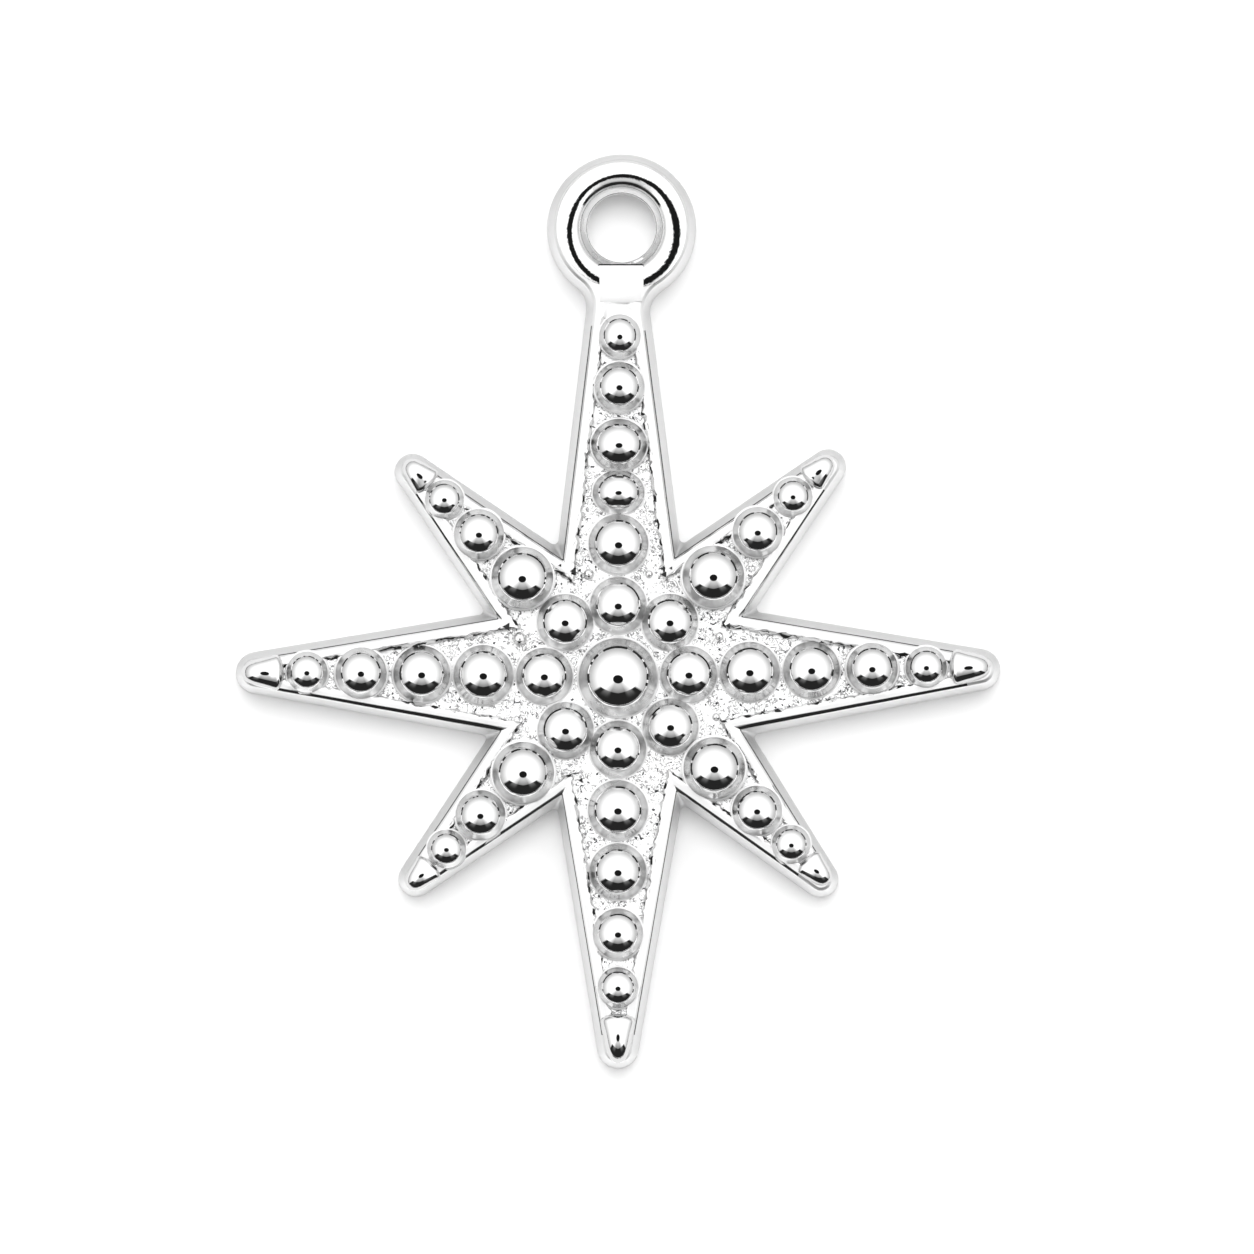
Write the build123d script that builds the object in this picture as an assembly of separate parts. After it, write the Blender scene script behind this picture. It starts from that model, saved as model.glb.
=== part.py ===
from build123d import *
import math
import os
from collections import namedtuple

# Star pendant, cast in one piece and silver plated, lying on its flat back.
# Millimetres. The origin is the middle of the star on the back plane, +X across,
# +Y towards the eyelet and +Z out of the beaded front.

# Outline of the star on the back plane
long_arm_length = 14.06
foot_arm_length = 14.50
diagonal_arm_length = 11.32
root_distance = 4.90
long_root_half_width = 2.22
diagonal_root_half_width = 1.79
long_tip_radius = 0.77
diagonal_tip_radius = 0.66
sharpest_tip = 0.03

# Side wall, its rounded edges and the sloping rim
wall_height = 1.60
wall_run = 0.28
back_edge = 0.06
front_edge = 0.08
rim_rise = 0.05
rim_run = 0.22
rim_height = wall_height + front_edge + rim_rise

# Sunk field inside the rim, and the beads that stand on it
rim_width = 0.32
field_depth = 0.25
field_wall_run = 0.05
field_margin = wall_run + front_edge + rim_width
field_height = rim_height - field_depth
bead_radius = 1.46
bead_centre_drop = 0.12
bead_foot_angle = 10

# Long drop that fills the tip of an arm
nose_lead = 0.45
nose_margin = 0.22
nose_end_margin = 0.05
nose_end_radius = 0.16
nose_sink = 0.02

# Hole of the eyelet: a straight land at the back, then a flare to the front
hole_radius = 1.25
hole_land = 0.75
hole_mouth_radius = 1.52

# Eyelet with a domed crown that stands above the rim
eyelet_distance = 16.40
eyelet_shift = 0.13
eyelet_radius = 2.74
eyelet_step = 0.07
eyelet_dome = 0.20
hole_mouth_drop = 0.10
crest_setback = 0.70
eyelet_wall_height = rim_height + eyelet_step
eyelet_crest_height = eyelet_wall_height + eyelet_dome
hole_mouth_height = eyelet_crest_height - hole_mouth_drop
eyelet_crest_radius = hole_radius + crest_setback

# Neck between the eyelet and the top arm
neck_setback = 3.80
neck_half_width = 1.27
neck_fillet = 0.90
neck_distance = eyelet_distance - neck_setback

# Plate on the neck, and the tongue that runs down from it to the field
plate_lap = 0.06
plate_margin = 0.11
plate_rise = 0.13
tongue_length = 0.30
tongue_half_width = 0.52
plate_half_width = neck_half_width - wall_run - front_edge - plate_margin
plate_end = eyelet_distance - eyelet_radius - plate_lap

# Beads of an arm, from the middle out. Distances are shares of the way from the middle bead to
# the arm's end, radii are shares of the middle bead's radius.
side_beads = ((0.192, 0.695), (0.351, 0.75), (0.513, 0.71), (0.670, 0.64), (0.811, 0.52))
foot_beads = ((0.187, 0.695), (0.337, 0.75), (0.500, 0.71), (0.661, 0.64), (0.794, 0.52))
top_beads = ((0.1625, 0.695), (0.2973, 0.75), (0.4172, 0.56), (0.5242, 0.63), (0.648, 0.625), (0.7604, 0.53))
diagonal_beads = ((0.2455, 0.695), (0.444, 0.775), (0.641, 0.61), (0.802, 0.485))

# Shapes of arm: length, half width at the root, tip radius and beads
arm_shapes = {
    "side": (long_arm_length, long_root_half_width, long_tip_radius, side_beads),
    "foot": (foot_arm_length, long_root_half_width, long_tip_radius, foot_beads),
    "top": (eyelet_distance, long_root_half_width, 0, top_beads),
    "diagonal": (diagonal_arm_length, diagonal_root_half_width, diagonal_tip_radius, diagonal_beads),
}

# The arms, anticlockwise: name, shape, turn from +X in degrees, share of the shape's length, and
# shares of its half width on the left and right sides
arm_rows = (
    ("right", "side", 0.7, 1.000, 1.02, 0.99),
    ("upper_right", "diagonal", 44.6, 1.017, 0.98, 1.07),
    ("top", "top", 90.0, 1.000, 0.99, 1.02),
    ("upper_left", "diagonal", 135.4, 0.996, 1.03, 0.97),
    ("left", "side", 179.8, 1.000, 0.98, 0.99),
    ("lower_left", "diagonal", 225.4, 0.992, 1.00, 1.00),
    ("foot", "foot", 270.0, 1.000, 1.02, 0.99),
    ("lower_right", "diagonal", 314.6, 0.995, 1.10, 0.92),
)

Arm = namedtuple("Arm", "name turn length left right tip beads")


def make_arm(name, shape, turn, stretch, left, right):
    length, root, tip, beads = arm_shapes[shape]
    return Arm(name, turn, length * stretch, root * left, root * right, tip, beads)


arms = [make_arm(*row) for row in arm_rows]
eyelet_middle = Vector(eyelet_shift, eyelet_distance)
bead_middle = Vector(0, -bead_centre_drop)


def turned(x, y, degrees):
    return Vector(x, y).rotate(Axis.Z, degrees)


def arm_end(arm):
    """The point of an arm's tip, or the middle of the eyelet for the arm that carries it."""
    if arm.name == "top":
        return eyelet_middle
    return turned(arm.length, 0, arm.turn)


def arm_side(arm, hand, inset):
    """One straight side of an arm, moved inwards: a point on it, its direction outwards along
    the arm, and its outward normal. hand is 1 for the left side and -1 for the right."""
    root = (root_distance, arm.left if hand > 0 else arm.right)
    if arm.name == "top":
        slope = math.atan2(neck_half_width - root[1], neck_distance - root[0])
    else:
        run = arm.length - arm.tip - root[0]
        slope = math.atan2(-root[1], run) + math.asin(arm.tip / math.hypot(run, root[1]))
    along = (math.cos(slope), math.sin(slope))
    normal = (-along[1], along[0])
    point = (root[0] - normal[0] * inset, root[1] - normal[1] * inset)
    return [turned(x, hand * y, arm.turn) for x, y in (point, along, normal)]


def crossing(first, second):
    """Where two sides meet."""
    p, u = first[0], first[1]
    q, v = second[0], second[1]
    cross = u.X * v.Y - u.Y * v.X
    gap = q - p
    return p + u * ((gap.X * v.Y - gap.Y * v.X) / cross)


def notch(index, inset):
    """The inner corner between an arm and the one before it."""
    return crossing(arm_side(arms[index - 1], 1, inset), arm_side(arms[index], -1, inset))


def fillet_middle(side, radius, ring):
    """Middle of the fillet between the neck's side and the eyelet's outer circle."""
    start = side[0] + side[2] * radius
    reach = start - eyelet_middle
    half = reach.dot(side[1])
    rest = reach.dot(reach) - (ring + radius) ** 2
    return start + side[1] * (-half - math.sqrt(max(half * half - rest, 0)))


def body_outline(inset):
    """Outline of the star, neck and eyelet, moved inwards all round."""
    edges = []
    for index, arm in enumerate(arms):
        right = arm_side(arm, -1, inset)
        left = arm_side(arm, 1, inset)
        start = notch(index, inset)
        finish = notch((index + 1) % len(arms), inset)
        if arm.name == "top":
            ring = eyelet_radius - inset
            radius = neck_fillet + inset
            bends = [fillet_middle(side, radius, ring) for side in (right, left)]
            touches = [eyelet_middle + (bend - eyelet_middle).normalized() * ring for bend in bends]
            feet = [bend - side[2] * radius for bend, side in zip(bends, (right, left))]
            bows = [bend - ((bend - touch) + (bend - foot)).normalized() * radius
                    for bend, touch, foot in zip(bends, touches, feet)]
            edges += [
                Line(start, feet[0]),
                ThreePointArc(feet[0], bows[0], touches[0]),
                ThreePointArc(touches[0], eyelet_middle + Vector(0, ring), touches[1]),
                ThreePointArc(touches[1], bows[1], feet[1]),
                Line(feet[1], finish),
            ]
        else:
            radius = max(arm.tip - inset, sharpest_tip)
            middle = turned(arm.length - arm.tip, 0, arm.turn)
            first = middle + right[2] * radius
            last = middle + left[2] * radius
            edges += [
                Line(start, first),
                ThreePointArc(first, middle + turned(radius, 0, arm.turn), last),
                Line(last, finish),
            ]
    return make_face(Wire(edges))


def field_outline(inset):
    """Outline of the sunk field: the arms again, each cut square under its nose, and the top
    one at the end of the tongue."""
    corners = []
    for index, arm in enumerate(arms):
        reach = arm.length - arm.tip - nose_lead
        if arm.name == "top":
            reach = plate_end - tongue_length
        cut = (turned(reach, 0, arm.turn), turned(0, 1, arm.turn))
        corners += [
            notch(index, inset),
            crossing(cut, arm_side(arm, -1, inset)),
            crossing(cut, arm_side(arm, 1, inset)),
        ]
    return make_face(Polyline(*corners, close=True))


def make_body():
    """Star, neck and eyelet with their drafted side wall, rounded edges and sloping rim."""
    rim_inset = wall_run + front_edge
    sections = (
        (back_edge, 0),
        (0, back_edge),
        (wall_run, wall_height),
        (rim_inset, wall_height + front_edge),
        (rim_inset + rim_run, rim_height),
    )
    body = loft([Pos(0, 0, height) * body_outline(inset) for inset, height in sections], ruled=True)
    floor = Pos(0, 0, field_height) * field_outline(field_margin + field_wall_run)
    mouth = Pos(0, 0, rim_height + field_wall_run) * field_outline(field_margin)
    return body - loft([floor, mouth], ruled=True)


def make_eyelet_crown():
    """Raised, domed face of the eyelet, standing on the body."""
    foot = wall_height / 2
    outer = eyelet_radius - wall_run - front_edge
    with BuildSketch(Plane.XZ) as section:
        with BuildLine():
            Line((hole_radius, foot), (outer, foot))
            Line((outer, foot), (outer, eyelet_wall_height))
            Spline((outer, eyelet_wall_height), (eyelet_crest_radius, eyelet_crest_height),
                   (hole_radius, hole_mouth_height))
            Line((hole_radius, hole_mouth_height), (hole_radius, foot))
        make_face()
    return Pos(eyelet_middle) * revolve(section.sketch, Axis.Z)


def make_hole():
    """What is cut out of the eyelet."""
    above = eyelet_crest_height * 2
    flare = (hole_mouth_radius - hole_radius) / (hole_mouth_height - hole_land)
    with BuildSketch(Plane.XZ) as section:
        with BuildLine():
            Polyline((0, -hole_land), (hole_radius, -hole_land), (hole_radius, hole_land),
                     (hole_radius + flare * (above - hole_land), above), (0, above), close=True)
        make_face()
    return Pos(eyelet_middle) * revolve(section.sketch, Axis.Z)


def make_neck_plate():
    """Plate that ramps down from the eyelet to the arm, and its tongue down to the field."""
    foot = wall_height / 2
    upper_end = eyelet_distance - hole_mouth_radius
    lower_end = plate_end - tongue_length
    plate = Polyline((plate_end, foot), (upper_end, foot), (upper_end, rim_height + plate_rise),
                     (plate_end, rim_height), close=True)
    tongue = Polyline((lower_end, foot), (plate_end, foot), (plate_end, rim_height),
                      (lower_end, field_height), close=True)
    middle = eyelet_shift * plate_end / eyelet_distance
    pieces = []
    for profile, half_width in ((plate, plate_half_width), (tongue, tongue_half_width)):
        sheet = Plane.YZ * make_face(profile)
        pieces.append(Pos(middle, 0, 0) * extrude(sheet, half_width, both=True))
    return pieces


def dome(place, radius):
    """A bead: half a ball on the field, with its foot a little below it."""
    ball = Sphere(radius, -bead_foot_angle, 90, align=(Align.CENTER, Align.CENTER, Align.NONE))
    return Pos(place.X, place.Y, field_height) * ball


def make_beads():
    """The middle bead and a row along every arm."""
    beads = [dome(bead_middle, bead_radius)]
    for arm in arms:
        way = arm_end(arm) - bead_middle
        beads += [dome(bead_middle + way * distance, bead_radius * size) for distance, size in arm.beads]
    return beads


def make_noses():
    """Bullet-shaped drops, round towards the middle of the star and tapered to the tip."""
    noses = []
    for arm in arms:
        if arm.name == "top":
            continue
        radius = arm.tip - nose_margin
        end = arm.tip + nose_lead - wall_run - nose_end_margin
        shoulder = (end - nose_end_radius / 2, nose_end_radius)
        bow = radius * math.sqrt(0.5)
        with BuildSketch(Plane.XZ) as section:
            with BuildLine():
                ThreePointArc((-radius, 0), (-bow, bow), (0, radius))
                TangentArc((0, radius), shoulder, tangent=(1, 0))
                Line(shoulder, (end, 0))
                Line((end, 0), (-radius, 0))
            make_face()
        nose = revolve(section.sketch, Axis.X)
        place = turned(arm.length - arm.tip - nose_lead, 0, arm.turn)
        noses.append(Pos(place.X, place.Y, field_height - nose_sink) * Rot(0, 0, arm.turn) * nose)
    return noses


def make_pendant():
    raised = [make_eyelet_crown()] + make_neck_plate() + make_noses() + make_beads()
    return make_body() + raised - make_hole()


pendant = make_pendant()
os.makedirs("parts", exist_ok=True)
export_step(pendant, "parts/star_pendant.step")
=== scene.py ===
import math

import bmesh
import bpy
from mathutils import Matrix, Vector, noise


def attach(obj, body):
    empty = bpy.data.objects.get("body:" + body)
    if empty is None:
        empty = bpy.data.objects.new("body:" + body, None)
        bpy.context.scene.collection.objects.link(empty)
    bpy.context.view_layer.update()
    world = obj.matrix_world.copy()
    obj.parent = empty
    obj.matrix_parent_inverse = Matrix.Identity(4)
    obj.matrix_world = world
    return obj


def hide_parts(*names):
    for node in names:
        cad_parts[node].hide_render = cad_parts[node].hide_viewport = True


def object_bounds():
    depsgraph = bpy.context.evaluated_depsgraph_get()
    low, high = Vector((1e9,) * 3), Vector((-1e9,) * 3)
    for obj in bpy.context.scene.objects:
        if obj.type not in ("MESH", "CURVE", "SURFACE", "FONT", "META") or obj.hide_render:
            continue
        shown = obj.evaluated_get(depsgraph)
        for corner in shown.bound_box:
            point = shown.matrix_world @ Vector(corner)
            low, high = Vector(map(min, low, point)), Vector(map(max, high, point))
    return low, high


# Dressed model of the star pendant: one casting in zinc alloy with bright silver plate. Sizes are
# millimetres until the finished mesh is scaled to metres.

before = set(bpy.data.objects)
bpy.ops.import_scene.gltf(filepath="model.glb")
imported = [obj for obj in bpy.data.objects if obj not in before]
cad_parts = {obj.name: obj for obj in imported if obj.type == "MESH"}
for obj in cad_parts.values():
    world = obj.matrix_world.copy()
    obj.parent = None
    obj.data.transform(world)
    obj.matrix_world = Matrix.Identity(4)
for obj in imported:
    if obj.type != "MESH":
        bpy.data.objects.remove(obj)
cad_low, cad_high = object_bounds()

MM = 0.001

# The vector noise is seeded by the clock at start, so a fixed seed keeps each run the same
noise.seed_set(3)

# Outline of the star on the back plane
long_arm_length = 14.06
foot_arm_length = 14.50
diagonal_arm_length = 11.32
root_distance = 4.90
long_root_half_width = 2.22
diagonal_root_half_width = 1.79
long_tip_radius = 0.77
diagonal_tip_radius = 0.66
sharpest_tip = 0.03
notch_radius = 0.17
notch_radius_at_rim = 0.02

# Steps of the outline: along a side, round a notch, a fillet of the neck, the eyelet and a tip
side_steps = 16
notch_steps = 4
fillet_steps = 8
ring_steps = 72
tip_steps = 12

# Side wall, the sloping rim and the sunk field inside it
wall_run = 0.28
rim_height = 1.73
field_margin = 0.68
field_height = 1.48
recess_floor = 1.10
# The casting's top lies this much further to the front than its back, at the rim's height
front_lean = 0.042
bead_radius = 1.46
bead_centre_drop = 0.15

# Eyelet and neck
eyelet_distance = 16.40
eyelet_shift = 0.13
eyelet_radius = 2.74
neck_distance = 12.60
neck_half_width = 1.27
neck_fillet = 0.90
plate_end = 13.60

# How far a nose reaches from its tip's middle back towards the star, in tip radii
nose_lead = 0.95
foot_nose_lead = 1.28

# Beads of an arm, from the middle out. Distances are shares of the way from the middle bead to
# the arm's end, radii are shares of the middle bead's radius.
side_beads = ((0.192, 0.717), (0.351, 0.76), (0.512, 0.72), (0.670, 0.65), (0.811, 0.525))
foot_beads = ((0.183, 0.717), (0.339, 0.76), (0.4965, 0.72), (0.655, 0.64), (0.793, 0.52))
top_beads = ((0.160, 0.72), (0.2957, 0.76), (0.4103, 0.61), (0.516, 0.68), (0.644, 0.635),
             (0.7566, 0.54))
diagonal_beads = ((0.2455, 0.715), (0.444, 0.785), (0.642, 0.635), (0.800, 0.495))
# Width over length of the top arm's third, fourth and sixth beads
top_bead_stretch = {2: 1.16, 3: 1.09, 5: 0.95}

# Kinds of arm: length, half width at the root, tip radius and beads
side_arm = (long_arm_length, long_root_half_width, long_tip_radius, side_beads)
foot_arm = (foot_arm_length, long_root_half_width, long_tip_radius, foot_beads)
top_arm = (eyelet_distance, long_root_half_width, 0, top_beads)
diagonal_arm = (diagonal_arm_length, diagonal_root_half_width, diagonal_tip_radius, diagonal_beads)

# The arms, anticlockwise: name, kind, turn from +X in degrees, shares of the length and of the half
# width on the left and the right, and the shift of its beads along the arm and to its left
arm_rows = (
    ("right", side_arm, 0.7, 1.000, 1.02, 1.03, -0.10, 0.11),
    ("upper_right", diagonal_arm, 44.6, 1.017, 0.98, 1.07, -0.07, 0.13),
    ("top", top_arm, 90.0, 1.000, 0.99, 1.02, 0.00, 0.03),
    ("upper_left", diagonal_arm, 135.4, 0.996, 1.03, 0.97, 0.01, -0.09),
    ("left", side_arm, 179.8, 1.000, 1.02, 0.99, 0.00, -0.02),
    ("lower_left", diagonal_arm, 225.4, 0.992, 1.03, 1.00, 0.00, 0.03),
    ("foot", foot_arm, 270.0, 1.000, 1.04, 1.005, 0.00, 0.00),
    ("lower_right", diagonal_arm, 314.6, 0.995, 1.10, 0.94, -0.10, 0.13),
)


class Arm:
    def __init__(self, name, kind, turn, stretch, left, right, along, aside):
        length, root, self.tip, self.beads = kind
        self.name = name
        self.turn = turn
        self.length = length * stretch
        self.left = root * left
        self.right = root * right
        self.along = along
        self.aside = aside


arms = [Arm(*row) for row in arm_rows]
eyelet_middle = Vector((eyelet_shift, eyelet_distance))
bead_middle = Vector((0, -bead_centre_drop))


# Helpers for places and curves

def turned(x, y, degrees):
    return Matrix.Rotation(math.radians(degrees), 2) @ Vector((x, y))


def held(value, low, high):
    return min(max(value, low), high)


def eased(value, start, finish):
    """0 at the start and 1 at the finish, with a soft curve between."""
    share = held((value - start) / (finish - start), 0, 1)
    return share * share * (3 - 2 * share)


def ripple(place, waves, height, shift=0):
    """Small wander of a surface: the size of its waves and how far it goes, in mm."""
    return noise.noise_vector(place / waves + Vector((shift, 0, 0))) * height


def lean(height):
    """How far the casting lies to the front at a height."""
    return front_lean * height / rim_height


def crossing(first, second):
    """Where two sides meet."""
    (p, u), (q, v) = first[:2], second[:2]
    cross = u.x * v.y - u.y * v.x
    gap = q - p
    return p + u * ((gap.x * v.y - gap.y * v.x) / cross)


def along_line(start, finish, steps):
    return [start.lerp(finish, step / steps) for step in range(steps)]


def around(middle, start, finish, radius, steps, clockwise=False):
    """Points of an arc, from the direction of start to that of finish."""
    first = math.atan2(start.y, start.x)
    last = math.atan2(finish.y, finish.x)
    sweep = -((first - last) % math.tau) if clockwise else (last - first) % math.tau
    angles = [first + sweep * step / steps for step in range(steps)]
    return [middle + Vector((math.cos(a), math.sin(a))) * radius for a in angles]


# Outline

def arm_end(arm):
    """The point of an arm's tip, or the middle of the eyelet for the arm that carries it."""
    return eyelet_middle if arm.name == "top" else turned(arm.length, 0, arm.turn)


def arm_side(arm, hand, inset):
    """One straight side of an arm, moved inwards: a point, its direction outwards along the arm
    and its outward normal. hand is 1 for the left side and -1 for the right."""
    root = (root_distance, arm.left if hand > 0 else arm.right)
    if arm.name == "top":
        slope = math.atan2(neck_half_width - root[1], neck_distance - root[0])
    else:
        run = arm.length - arm.tip - root[0]
        slope = math.atan2(-root[1], run) + math.asin(arm.tip / math.hypot(run, root[1]))
    along = (math.cos(slope), math.sin(slope))
    normal = (-along[1], along[0])
    point = (root[0] - normal[0] * inset, root[1] - normal[1] * inset)
    return [turned(x, hand * y, arm.turn) for x, y in (point, along, normal)]


def fillet_middle(side, radius, ring):
    """Middle of the fillet between the neck's side and the eyelet's outer circle."""
    start = side[0] + side[2] * radius
    reach = start - eyelet_middle
    half = reach.dot(side[1])
    rest = reach.dot(reach) - (ring + radius) ** 2
    return start + side[1] * (-half - math.sqrt(max(half * half - rest, 0)))


def notch_arc(index, inset):
    """The inner corner between an arm and the one before it, rounded at the foot of the wall and
    nearly sharp at the rim."""
    share = min(inset / wall_run, 1)
    radius = notch_radius * (1 - share) + notch_radius_at_rim * share
    before = arm_side(arms[index - 1], 1, inset - radius)
    after = arm_side(arms[index], -1, inset - radius)
    middle = crossing(before, after)
    arc = around(middle, -before[2], -after[2], radius, notch_steps, clockwise=True)
    return arc + [middle - after[2] * radius]


def outline(inset):
    """Outline of the star, neck and eyelet, moved inwards all round."""
    points = []
    for index, arm in enumerate(arms):
        right = arm_side(arm, -1, inset)
        left = arm_side(arm, 1, inset)
        corner = notch_arc(index, inset)
        finish = notch_arc((index + 1) % len(arms), inset)[0]
        points += corner[:-1]
        if arm.name == "top":
            ring = eyelet_radius - inset
            radius = neck_fillet + inset
            bends = [fillet_middle(side, radius, ring) for side in (right, left)]
            reaches = [(bend - eyelet_middle).normalized() for bend in bends]
            points += along_line(corner[-1], bends[0] - right[2] * radius, side_steps)
            points += around(bends[0], -right[2], -reaches[0], radius, fillet_steps, clockwise=True)
            points += around(eyelet_middle, reaches[0], reaches[1], ring, ring_steps)
            points += around(bends[1], -reaches[1], -left[2], radius, fillet_steps, clockwise=True)
            points += along_line(bends[1] - left[2] * radius, finish, side_steps)
        else:
            radius = max(arm.tip - inset, sharpest_tip)
            middle = turned(arm.length - arm.tip, 0, arm.turn)
            points += along_line(corner[-1], middle + right[2] * radius, side_steps)
            points += around(middle, right[2], left[2], radius, tip_steps)
            points += along_line(middle + left[2] * radius, finish, side_steps)
    return points


# Edge of the sunk field: its steps, the size and reach of its waves, how they change with the
# inset, and how far it ends short of where an arm's sides meet
field_edge_step = 0.09
field_edge_grain = 0.20
field_edge_jitter = 0.085
field_edge_change = 1.2
field_setback = 0.45


def field_outline(inset):
    """Wandering outline of the sunk field: the arms again, each cut square under its nose."""
    corners = []
    for index, arm in enumerate(arms):
        right, left = arm_side(arm, -1, inset), arm_side(arm, 1, inset)
        if arm.name == "top":
            reach = plate_end
        else:
            meeting = crossing(right, left)
            reach = min(arm.length - arm.tip * (1 + nose_lead),
                        turned(meeting.x, meeting.y, -arm.turn).x - field_setback)
        cut = (turned(reach, 0, arm.turn), turned(0, 1, arm.turn))
        corners.append(crossing(arm_side(arms[index - 1], 1, inset), right))
        corners.append(crossing(cut, right))
        corners.append(crossing(cut, left))
    points = []
    for start, finish in zip(corners, corners[1:] + corners[:1]):
        steps = max(2, round((finish - start).length / field_edge_step))
        points += along_line(start, finish, steps)
    level = inset * field_edge_change
    wander = [ripple(Vector((p.x, p.y, level)), field_edge_grain, field_edge_jitter) for p in points]
    return [p + w.to_2d() for p, w in zip(points, wander)]


# Mesh helpers

# Distance within which the ends of a turned profile are merged at its axis
pole_merge = 0.0005


def shifted(bm, x, y, z):
    bmesh.ops.translate(bm, vec=(x, y, z), verts=bm.verts)


def loop_of(bm, points, height):
    corners = [bm.verts.new((p.x, p.y, height)) for p in points]
    return [bm.edges.new(pair) for pair in zip(corners, corners[1:] + corners[:1])]


def stacked(bm, levels):
    """Closed solid through outlines at rising heights."""
    loops = [loop_of(bm, points, height) for points, height in levels]
    for lower, upper in zip(loops, loops[1:]):
        bmesh.ops.bridge_loops(bm, edges=lower + upper)
    for loop in (loops[0], loops[-1]):
        bmesh.ops.edgeloop_fill(bm, edges=loop)


def turned_solid(bm, profile, steps, axis=(0, 0, 1)):
    """Closed solid of a profile of (distance from the axis, place along it) spun full circle."""
    along = Vector(axis)
    across = Vector((1, 0, 0)) if along.z else Vector((0, 0, 1))
    corners = [bm.verts.new(across * radius + along * place) for radius, place in profile]
    edges = [bm.edges.new(pair) for pair in zip(corners, corners[1:])]
    if profile[0][0] and profile[-1][0]:
        edges.append(bm.edges.new((corners[-1], corners[0])))
    bmesh.ops.spin(bm, geom=corners + edges, cent=(0, 0, 0), axis=along, angle=math.tau,
                   steps=steps, use_merge=True)
    bmesh.ops.remove_doubles(bm, verts=bm.verts, dist=pole_merge)


def as_object(bm, name, finish):
    """The mesh as an object that wears the casting's finishes, its faces in the one given."""
    bmesh.ops.recalc_face_normals(bm, faces=bm.faces)
    for face in bm.faces:
        face.material_index = finish
        face.smooth = True
    mesh = bpy.data.meshes.new(name)
    bm.to_mesh(mesh)
    bm.free()
    for material in finishes:
        mesh.materials.append(material)
    made = bpy.data.objects.new(name, mesh)
    bpy.context.scene.collection.objects.link(made)
    return made


def paint(ob, finish, chosen):
    """Gives the finish to the faces that are chosen."""
    for face in ob.data.polygons:
        if chosen(face):
            face.material_index = finish


def combine(base, others, operation):
    """Joins solids to the base or cuts them out of it, and takes them away."""
    group = bpy.data.collections.new("group")
    bpy.context.scene.collection.children.link(group)
    for other in others:
        bpy.context.scene.collection.objects.unlink(other)
        group.objects.link(other)
    modifier = base.modifiers.new("combine", "BOOLEAN")
    modifier.operation = operation
    modifier.solver = "MANIFOLD"
    modifier.operand_type = "COLLECTION"
    modifier.collection = group
    graph = bpy.context.evaluated_depsgraph_get()
    mesh = bpy.data.meshes.new_from_object(base.evaluated_get(graph))
    base.modifiers.clear()
    base.data = mesh
    for other in others:
        bpy.data.objects.remove(other)
    bpy.data.collections.remove(group)


# Node helpers

def linear(hex_colour):
    """sRGB hex to linear RGBA."""
    channels = [int(hex_colour[i:i + 2], 16) / 255 for i in (0, 2, 4)]
    return [c / 12.92 if c <= 0.04045 else ((c + 0.055) / 1.055) ** 2.4 for c in channels] + [1]


def add(tree, kind, inputs=None, **settings):
    """A node with its settings, and its sockets set or linked."""
    made = tree.nodes.new(kind)
    for name, value in settings.items():
        setattr(made, name, value)
    for name, value in (inputs or {}).items():
        value = getattr(value, "socket", value)
        if isinstance(value, bpy.types.NodeSocket):
            tree.links.new(value, made.inputs[name])
        else:
            made.inputs[name].default_value = value
    return made


class Number:
    """A number that nodes work out. Sums with it make further nodes."""

    def __init__(self, tree, socket):
        self.tree = tree
        self.socket = socket

    def node(self, kind, output, inputs, **settings):
        return Number(self.tree, add(self.tree, kind, inputs, **settings).outputs[output])

    def worked(self, operation, *others):
        inputs = dict(enumerate((self, *others)))
        return self.node("ShaderNodeMath", 0, inputs, operation=operation)

    def __add__(self, other):
        return self.worked("ADD", other)

    def __sub__(self, other):
        return self.worked("SUBTRACT", other)

    def __mul__(self, other):
        return self.worked("MULTIPLY", other)

    def __truediv__(self, other):
        return self.worked("DIVIDE", other)

    def spread(self, start, finish, low=0, high=1):
        """Mapped from start and finish to low and high, and held at those."""
        return self.node("ShaderNodeMapRange", "Result", {
            "Value": self, "From Min": start, "From Max": finish, "To Min": low, "To Max": high})

    def past(self, edge, width):
        """0 below the edge and 1 above it, over that width."""
        return self.spread(edge - width / 2, edge + width / 2)

    def short_of(self, edge, width):
        return self.spread(edge + width / 2, edge - width / 2)

    def mixed(self, share, other):
        """This number where the share is 0, and the other where it is 1."""
        return self.node("ShaderNodeMix", "Result", {"Factor": share, "A": self, "B": other})


def blend(tree, share, first, second):
    """Mix of two colours."""
    return add(tree, "ShaderNodeMixRGB", {"Fac": share, "Color1": first,
                                          "Color2": second}).outputs["Color"]


def speckle(tree, place, millimetres, detail, twist=0):
    """Noise whose features are that long."""
    scale = 1 / (millimetres * MM)
    made = add(tree, "ShaderNodeTexNoise", {"Vector": place, "Scale": scale, "Detail": detail,
                                            "Distortion": twist})
    return Number(tree, made.outputs["Fac"])


def empty_material(name):
    material = bpy.data.materials.new(name)
    material.use_nodes = True
    material.node_tree.nodes.clear()
    return material


# Materials

# Clouds in the plate's polish: their size in mm and noise values
cloud_size = 1.4
cloud_edge = (0.3, 0.7)

# Painted dark marks on the field, standing for shade and dark reflections in its grain, with sizes
# in mm and the noise values between which they fade in: creases, the patches that break them, and pits
crease_size = 0.26
crease_twist = 1.6
crease_edge = (0.055, 0.020)
patch_size = 0.55
patch_edge = (0.40, 0.46)
crease_strength = 0.74
pit_size = 0.13
pit_edge = (0.66, 0.69)
painted_dark_colour = "3C3C3E"
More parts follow.
